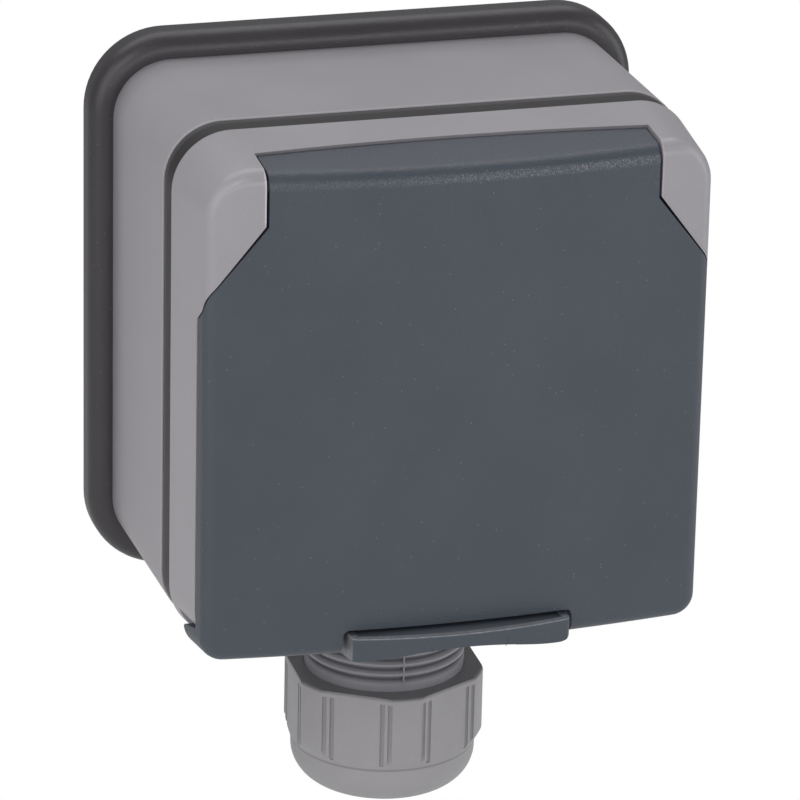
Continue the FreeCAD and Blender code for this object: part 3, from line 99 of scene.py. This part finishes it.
class Finish:
    """A procedural material. Places and sizes in it are metres on the part at rest."""

    def __init__(self, name):
        self.material = bpy.data.materials.new(name)
        self.material.use_nodes = True
        self.tree = self.material.node_tree
        self.shader = self.tree.nodes["Principled BSDF"]
        self.place = self.add("TexCoord", {}, {}, "Object")
        self.side = self.along(self.place, "X")
        self.depth = 0.0 - self.along(self.place, "Y")
        self.height = self.along(self.place, "Z")

    def put(self, socket, value):
        if isinstance(value, Value):
            self.tree.links.new(value.socket, socket)
        elif isinstance(value, (int, float)):
            socket.default_value = value
        else:
            socket.default_value = tuple(value)[:len(socket.default_value)]

    def add(self, kind, settings, values, output=0):
        """Any node: its settings first, then its sockets by name or in order."""
        node = self.tree.nodes.new("ShaderNode" + kind)
        for key, value in settings.items():
            setattr(node, key, value)
        if isinstance(values, dict):
            for key, value in values.items():
                self.put(node.inputs[key], value)
        else:
            for socket, value in zip(node.inputs, values):
                self.put(socket, value)
        return Value(self, node.outputs[output])

    def along(self, vector, axis):
        return self.add("SeparateXYZ", {}, [vector], axis)

    def noise(self, size, detail, rough=0.55, place=None):
        """Soft noise from 0 to 1, with lumps of the given size."""
        return self.add("TexNoise", {}, {"Vector": place or self.place, "Scale": 1.0 / size,
                                         "Detail": detail, "Roughness": rough})

    def specks(self, size, share):
        """Small round dots in about the given share of cells of the given size."""
        cells = {"Vector": self.place, "Scale": 1.0 / size, "Randomness": 1.0}
        distance = self.add("TexVoronoi", {}, cells, "Distance")
        tint = self.add("TexVoronoi", {}, cells, "Color")
        picked = self.add("SeparateColor", {}, [tint], 0).above(1.0 - share)
        dot = 1.0 - distance.between(0.12, 0.3)
        return picked * dot

    def mix(self, amount, first, second):
        """A colour between two colours. The node's colour sockets go by their numbers."""
        return self.add("Mix", {"data_type": "RGBA"}, {0: amount, 6: first, 7: second}, 2)

    def bump(self, height, depth):
        return self.add("Bump", {}, {"Height": height, "Distance": depth})

    def set(self, **values):
        for key, value in values.items():
            self.put(self.shader.inputs[key.replace("_", " ")], value)
        return self

    def painted(self):
        """The colour so far."""
        return Value(self, self.shader.inputs["Base Color"].links[0].from_socket)

    def lay(self, amount, tint):
        """Paint another colour over the one so far, as far as amount says."""
        self.set(Base_Color=self.mix(amount, self.painted(), tint))

    def tone(self, amount, least):
        """Darken the colour so far, down to the given share where amount is 0."""
        shares = self.add("CombineXYZ", {}, [least + amount * (1.0 - least)] * 3)
        factors = [self.painted(), shares]
        self.set(Base_Color=self.add("VectorMath", {"operation": "MULTIPLY"}, factors))

    def cover(self, amount, layer):
        """Lay another shader over this one, as far as amount says."""
        surface = self.tree.nodes["Material Output"].inputs["Surface"]
        under = Value(self, surface.links[0].from_socket)
        self.put(surface, self.add("MixShader", {}, [amount, under, layer]))

    def on(self, *names):
        for name in names:
            mesh = NODES[name].data
            mesh.materials.clear()
            mesh.materials.append(self.material)


def colour(*rgb):
    """A linear colour from the 0 to 255 numbers of a screen."""
    parts = [c / 255.0 for c in rgb]
    line = [c / 12.92 if c <= 0.04045 else ((c + 0.055) / 1.055) ** 2.4 for c in parts]
    return (*line, 1.0)


def shade(rgba, factor):
    return tuple(c * factor for c in rgba[:3]) + (1.0,)


CLOUD_SIZE = 0.018
SPECK_SIZE = 0.00055


def moulded(name, base, rough, grain, grain_depth, blotch, speck=0.0, speck_tint=None,
            glint=0.1):
    """Moulded plastic or rubber: a fine spark-eroded grain, faint blotches and dust specks."""
    finish = Finish(name)
    cloud = finish.noise(CLOUD_SIZE, 4.0)
    fine = finish.noise(grain, 2.0, 0.6)
    patches = cloud.between(0.3, 0.7)
    tint = finish.mix(patches, shade(base, 1.0 - blotch), shade(base, 1.0 + blotch))
    light_grain = fine.between(0.3, 0.75) * 0.35
    tint = finish.mix(light_grain, tint, shade(base, 1.12))
    if speck:
        dust = finish.specks(SPECK_SIZE, speck) * 0.55
        tint = finish.mix(dust, tint, speck_tint or shade(base, 2.2))
    sheen = rough + (cloud - 0.5) * 0.14 + (fine - 0.5) * glint
    return finish.set(Base_Color=tint, Roughness=sheen, Normal=finish.bump(fine, grain_depth))


# Grey box and cover

GREY = colour(151, 148, 153)


def finish_cover():
    """A painted highlight along the rear edge, and a painted highlight on the lip of each
    shoulder beside the lid.
    """
    skin = moulded("housing_grey", GREY, rough=0.33, grain=0.00035, grain_depth=0.00002,
                   blotch=0.03)
    # Painted highlight on the rounded rear edge
    painted_rear_highlight = skin.depth.band(0.0450, 0.0451, 0.0454, 0.0458)
    skin.lay(painted_rear_highlight * 0.45, colour(196, 194, 198))
    # Painted highlight on the lip of each shoulder beside the lid, stronger on the left
    lip_highlight_beside_lid = abs(skin.side).band(0.0339, 0.0340, 0.0342, 0.03435)
    at_shoulder = skin.height.band(0.0335, 0.0350, 0.0424, 0.0432)
    on_front = skin.depth.above(0.0575)
    highlight_fade = 0.6 - skin.side.between(-0.01, 0.01) * 0.42
    skin.lay(lip_highlight_beside_lid * at_shoulder * on_front * highlight_fade, colour(206, 204, 208))
    skin.on("front_cover")


def finish_box():
    """Painted shade, darker towards the wall, with a painted highlight along the front edge.
    """
    skin = moulded("box_grey", GREY, rough=0.45, grain=0.00035, grain_depth=0.00002,
                   blotch=0.03)
    # Painted shade: darker towards the wall
    shade_off_wall = skin.depth.between(0.006, 0.017)
    skin.tone(shade_off_wall, 0.68)
    # Painted highlight along the front edge
    painted_front_highlight = skin.depth.band(0.0420, 0.0424, 0.0430, 0.0431)
    skin.lay(painted_front_highlight * 0.4, colour(190, 188, 192))
    skin.on("back_box")


finish_cover()
finish_box()

# Slate lid and latch

SLATE = colour(63, 70, 79)


def finish_lid():
    """A painted highlight, broken up by noise, along the round at the top, more so towards the
    right.
    """
    skin = moulded("lid_slate", SLATE, rough=0.42, grain=0.00032, grain_depth=0.00009,
                   blotch=0.05, speck=0.02, speck_tint=colour(120, 128, 134), glint=0.35)
    # Painted highlight: light specks in a band along the round at the top
    top_round = skin.height.band(0.0396, 0.0402, 0.0410, 0.0416) * skin.depth.above(0.06)
    painted_highlight_specks = skin.noise(0.00022, 1.0, 0.6).between(0.5, 0.66)
    highlight_to_right = skin.side.between(-0.034, 0.03) * 0.75 + 0.25
    skin.lay(top_round * painted_highlight_specks * highlight_to_right * 0.42, colour(160, 164, 166))
    skin.on("lid")


def finish_latch():
    """Painted light on the shelf on top and on the end faces, and a painted highlight along
    the upper front edge.
    """
    skin = moulded("latch_slate", SLATE, rough=0.42, grain=0.0004, grain_depth=0.00002,
                   blotch=0.04, speck=0.02)
    facing = skin.add("TexCoord", {}, {}, "Normal")
    upward = skin.along(facing, "Z").between(0.5, 0.9)
    endways = abs(skin.along(facing, "X")).between(0.8, 0.95)
    painted_light_mottle = skin.noise(0.0007, 3.0).between(0.35, 0.7) * 0.5 + 0.5
    # Painted light on the upward-facing shelf, lighter towards the front
    shelf = upward * skin.depth.between(0.0665, 0.0725)
    skin.lay(shelf * 0.8, colour(122, 125, 131))
    # Painted light, broken up by noise, on the end faces
    skin.lay(endways * painted_light_mottle * 0.8, colour(128, 130, 134))
    # Painted highlight, broken up by noise, along the upper front edge
    top_edge = skin.height.band(-0.03905, -0.03898, -0.0387, -0.0386)
    at_front = skin.depth.above(0.0685)
    skin.lay(top_edge * at_front * painted_light_mottle * 0.7, colour(150, 152, 156))
    skin.on("lid_latch")


finish_lid()
finish_latch()

# Rubber


def finish_cover_seal():
    """Painted shade makes the seal nearly black where it goes in under the cover."""
    skin = moulded("rubber_dark", colour(64, 61, 65), rough=0.5, grain=0.0005,
                   grain_depth=0.00003, blotch=0.08)
    # Painted shade where the seal goes in under the cover
    shade_under_cover = skin.depth.between(0.0436, 0.0446)
    skin.lay(shade_under_cover * 0.9, colour(26, 25, 28))
    skin.on("cover_seal")


moulded("rubber_grey", colour(51, 48, 52), rough=0.38, grain=0.0005, grain_depth=0.00004,
        blotch=0.08, speck=0.03, speck_tint=colour(110, 108, 108)).on("wall_seal")
finish_cover_seal()
moulded("rubber_black", colour(38, 38, 40), rough=0.5, grain=0.0005, grain_depth=0.00003,
        blotch=0.08).on("lid_seal", "gland_face_seal", "gland_sealing_bush")

# Cable gland

GLAND_DEPTH = 0.0252


def gland_plastic(name, tint, rough=0.42):
    return moulded(name, tint, rough, grain=0.0004, grain_depth=0.00003, blotch=0.04)


def finish_nut():
    """The top face is in shade, and a thin dark line parts the flats from the dome."""
    skin = gland_plastic("gland_grey", colour(146, 144, 147))
    top_face = skin.height.between(-0.0642, -0.0637)
    skin.tone(1.0 - top_face, 0.6)
    dome_line = skin.height.band(-0.07795, -0.0778, -0.07755, -0.0774)
    skin.lay(dome_line * 0.45, colour(88, 86, 90))
    skin.on("gland_nut")


def finish_neck():
    """Painted shade darkens the valleys between the neck's rings outside the box."""
    skin = gland_plastic("neck_grey", colour(130, 130, 136), rough=0.3)
    ahead = skin.depth - GLAND_DEPTH
    off_axis = (skin.side * skin.side + ahead * ahead) ** 0.5
    outside_box = 1.0 - skin.height.between(-0.0505, -0.0495)
    # Painted shade in the valleys between the rings
    valley_shade = 1.0 - off_axis.between(0.0134, 0.01415)
    skin.tone(1.0 - outside_box * valley_shade, 0.42)
    skin.on("gland_body")


finish_nut()
gland_plastic("gland_dark", colour(126, 126, 132)).on("gland_locknut", "gland_slip_ring")
finish_neck()

# Socket behind the lid


def inner_plastic(name, tint, rough, grain_depth, blotch):
    return moulded(name, tint, rough, grain=0.0004, grain_depth=grain_depth, blotch=blotch)


inner_plastic("insert_grey", colour(128, 128, 132), 0.35, 0.00001, 0.03).on("socket_insert")
inner_plastic("carrier_white", colour(214, 211, 204), 0.5, 0.00002, 0.03).on("contact_base")
inner_plastic("shutter_white", colour(196, 196, 192), 0.35, 0.00001, 0.02).on("shutter")

# Metal

POLISH_SIZE = 0.004
SCRATCH_DEPTH = 0.00001


def metal(name, base, rough, grain):
    """Drawn or stamped metal with fine scratches along one way and a cloudy polish."""
    finish = Finish(name)
    cloud = finish.noise(POLISH_SIZE, 3.0)
    stretched = finish.add("Mapping", {}, {"Vector": finish.place, "Scale": (1.0, 9.0, 1.0)})
    scratch = finish.noise(grain, 2.0, 0.6, stretched)
    tint = finish.mix(cloud.between(0.3, 0.7), shade(base, 0.86), shade(base, 1.1))
    sheen = rough + (scratch - 0.5) * 0.2
    return finish.set(Base_Color=tint, Metallic=1.0, Roughness=sheen,
                      Normal=finish.bump(scratch, SCRATCH_DEPTH))


metal("contact_brass", colour(214, 176, 98), rough=0.32, grain=0.0004).on(
    "live_contact", "neutral_contact", "earth_pin", "earth_contact", "terminal_clamps")
metal("plated_steel", colour(190, 190, 188), rough=0.3, grain=0.0003).on(
    "cover_screws", "insert_screws", "hinge_pins", "latch_pin", "terminal_screws")
metal("spring_steel", colour(165, 165, 166), rough=0.28, grain=0.0003).on(
    "lid_springs", "latch_spring", "shutter_spring")

# Pieces that stand for a node whose form needs more than its solid has


def stand_in(name, node, body):
    """A piece of its own that starts from a node's form and takes its finish."""
    piece = bpy.data.objects.new(name, NODES[node].data.copy())
    bpy.context.scene.collection.objects.link(piece)
    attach(piece, body)
    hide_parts(node)
    return piece


# Latch tongue, with heights and places of its solid

TONGUE_HALF = 0.0192
TONGUE_LOW = -0.0426
ARCH_RISE = 0.00135
ARCH_RADIUS = 0.03
SMOOTH_HALF = 0.017
END_ROUND = 0.0016
HOLLOW_FLOOR = -0.0405
HOLLOW_FILLED = -0.0391
HOLLOW_DEPTH = 0.0645
TONGUE_CUTS = 48
NEAR = 0.00003
SAME_POINT = 0.000002


def arch_cut(x):
    """Height of the solid's arch at the tongue's front edge."""
    centre = TONGUE_LOW + ARCH_RISE - ARCH_RADIUS
    return max(TONGUE_LOW, centre + math.sqrt(ARCH_RADIUS ** 2 - x ** 2))


def arch_smooth(x):
    """The same arch without its two kinks, run out towards the ends, with a rounded end."""
    share = min(1.0, abs(x) / SMOOTH_HALF)
    height = TONGUE_LOW + ARCH_RISE * (1.0 - share ** 2) ** 2
    past = x - (TONGUE_HALF - END_ROUND)
    if past > 0:
        height += END_ROUND - math.sqrt(max(0.0, END_ROUND ** 2 - past ** 2))
    return height


def shape_tongue(piece):
    """Smooth the arch under the tongue, and fill most of the hollow on its shelf."""
    mesh = bmesh.new()
    mesh.from_mesh(piece.data)
    bmesh.ops.remove_doubles(mesh, verts=mesh.verts, dist=SAME_POINT)
    for i in range(1, TONGUE_CUTS):
        place = (-TONGUE_HALF + 2 * TONGUE_HALF * i / TONGUE_CUTS, 0.0, 0.0)
        everything = mesh.verts[:] + mesh.edges[:] + mesh.faces[:]
        bmesh.ops.bisect_plane(mesh, geom=everything, plane_co=place, plane_no=(1.0, 0.0, 0.0))
    for vertex in mesh.verts:
        x, y, z = vertex.co
        if z < arch_cut(x) + NEAR:
            vertex.co.z += arch_smooth(x) - arch_cut(x)
        if abs(z - HOLLOW_FLOOR) < NEAR and y < -HOLLOW_DEPTH:
            vertex.co.z = HOLLOW_FILLED
    mesh.to_mesh(piece.data)
    mesh.free()


tongue = stand_in("latch_tongue", "lid_latch", "latch_body")
shape_tongue(tongue)

# The ring rises 2.5 mm and the shutter 5.6 mm; the bush and the coil become pieces of their
# own, each with its own mesh

bush = stand_in("sealing_bush", "gland_sealing_bush", "housing")
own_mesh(bush)
coil = stand_in("shutter_coil", "shutter_spring", "housing")
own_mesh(coil)

# Crisp edges and smooth rounds

CREASE = math.radians(28)


def smooth(piece):
    for face in piece.data.polygons:
        face.use_smooth = True
    weld = piece.modifiers.new("weld", "WELD")
    weld.merge_threshold = SAME_POINT
    crease = piece.modifiers.new("crease", "EDGE_SPLIT")
    crease.split_angle = CREASE


for piece in [*NODES.values(), tongue, bush, coil]:
    smooth(piece)

# Floor: white to the camera, pale to the light, and clear from beneath

FLOOR_HEIGHT = -0.26
FLOOR_HALF = 4.0


def lay_floor():
    mesh = bpy.data.meshes.new("floor")
    corners = [(-FLOOR_HALF, -FLOOR_HALF, 0), (FLOOR_HALF, -FLOOR_HALF, 0),
               (FLOOR_HALF, FLOOR_HALF, 0), (-FLOOR_HALF, FLOOR_HALF, 0)]
    mesh.from_pydata(corners, [], [(0, 1, 2, 3)])
    floor = bpy.data.objects.new("floor", mesh)
    floor.location = (0.0, 0.0, FLOOR_HEIGHT)
    bpy.context.scene.collection.objects.link(floor)
    paint = Finish("floor_paint")
    paint.set(Base_Color=(0.8, 0.8, 0.8, 1.0), Roughness=0.9, Specular_IOR_Level=0.1)
    seen = paint.add("LightPath", {}, {}, "Is Camera Ray")
    glow = paint.add("Emission", {}, {"Color": (1.0, 1.0, 1.0, 1.0), "Strength": 1.0})
    paint.cover(seen, glow)
    beneath = paint.add("NewGeometry", {}, {}, "Backfacing")
    paint.cover(beneath, paint.add("BsdfTransparent", {}, {}))
    mesh.materials.append(paint.material)


lay_floor()

# Soft light from panels around the part

MIDDLE = (0.0, -0.03, 0.0)
LEFT_SHOULDER = (-0.035, -0.06, 0.035)


def softbox(name, place, aim, size, power):
    lamp = bpy.data.lights.new(name, "AREA")
    lamp.shape = "RECTANGLE"
    lamp.size, lamp.size_y = size
    lamp.energy = power
    panel = bpy.data.objects.new(name, lamp)
    panel.location = place
    way = Vector(aim) - Vector(place)
    panel.rotation_mode = "QUATERNION"
    panel.rotation_quaternion = way.to_track_quat("-Z", "Y")
    bpy.context.scene.collection.objects.link(panel)


softbox("top_softbox", (0.0, 0.4, 0.9), MIDDLE, (1.4, 0.7), power=5.3)
softbox("left_softbox", (-1.0, -0.55, 0.35), MIDDLE, (0.8, 1.0), power=4.6)
softbox("key_softbox", (-0.58, -0.86, 0.80), LEFT_SHOULDER, (0.2, 0.2), power=1.7)
softbox("front_strip", (0.15, -1.25, 0.30), MIDDLE, (2.0, 0.14), power=5.2)
softbox("front_fill", (0.6, -1.4, 0.0), MIDDLE, (1.0, 1.2), power=1.4)
softbox("right_fill", (1.1, -0.3, 0.2), MIDDLE, (0.6, 0.9), power=3.4)

WORLD_STRENGTH = 0.3

world = bpy.data.worlds.new("studio")
world.use_nodes = True
background = world.node_tree.nodes["Background"]
background.inputs["Color"].default_value = (1.0, 1.0, 1.0, 1.0)
background.inputs["Strength"].default_value = WORLD_STRENGTH
bpy.context.scene.world = world
bpy.context.scene.view_settings.view_transform = "Standard"

# The camera stands where the photograph was taken, solved from the box's edges

CAMERA_PLACE = (-0.2547, -0.8591, 0.3171)
CAMERA_RIGHT = (0.957851, -0.286510, 0.020834)
CAMERA_UP = (0.083156, 0.345962, 0.934556)
CAMERA_AHEAD = (0.274967, 0.893433, -0.355205)
SENSOR_WIDTH = 36.0
FOCAL_PIXELS = 5356.3
PHOTO_PIXELS = 800.0

camera_data = bpy.data.cameras.new("camera")
camera_data.sensor_width = SENSOR_WIDTH
camera_data.lens = SENSOR_WIDTH * (FOCAL_PIXELS / PHOTO_PIXELS)
camera_data.clip_start = 0.01
camera_data.clip_end = 20.0
camera = bpy.data.objects.new("camera", camera_data)
axes = Matrix((CAMERA_RIGHT, CAMERA_UP, -Vector(CAMERA_AHEAD))).transposed()
camera.matrix_world = Matrix.Translation(CAMERA_PLACE) @ axes.to_4x4()
bpy.context.scene.collection.objects.link(camera)
bpy.context.scene.camera = camera
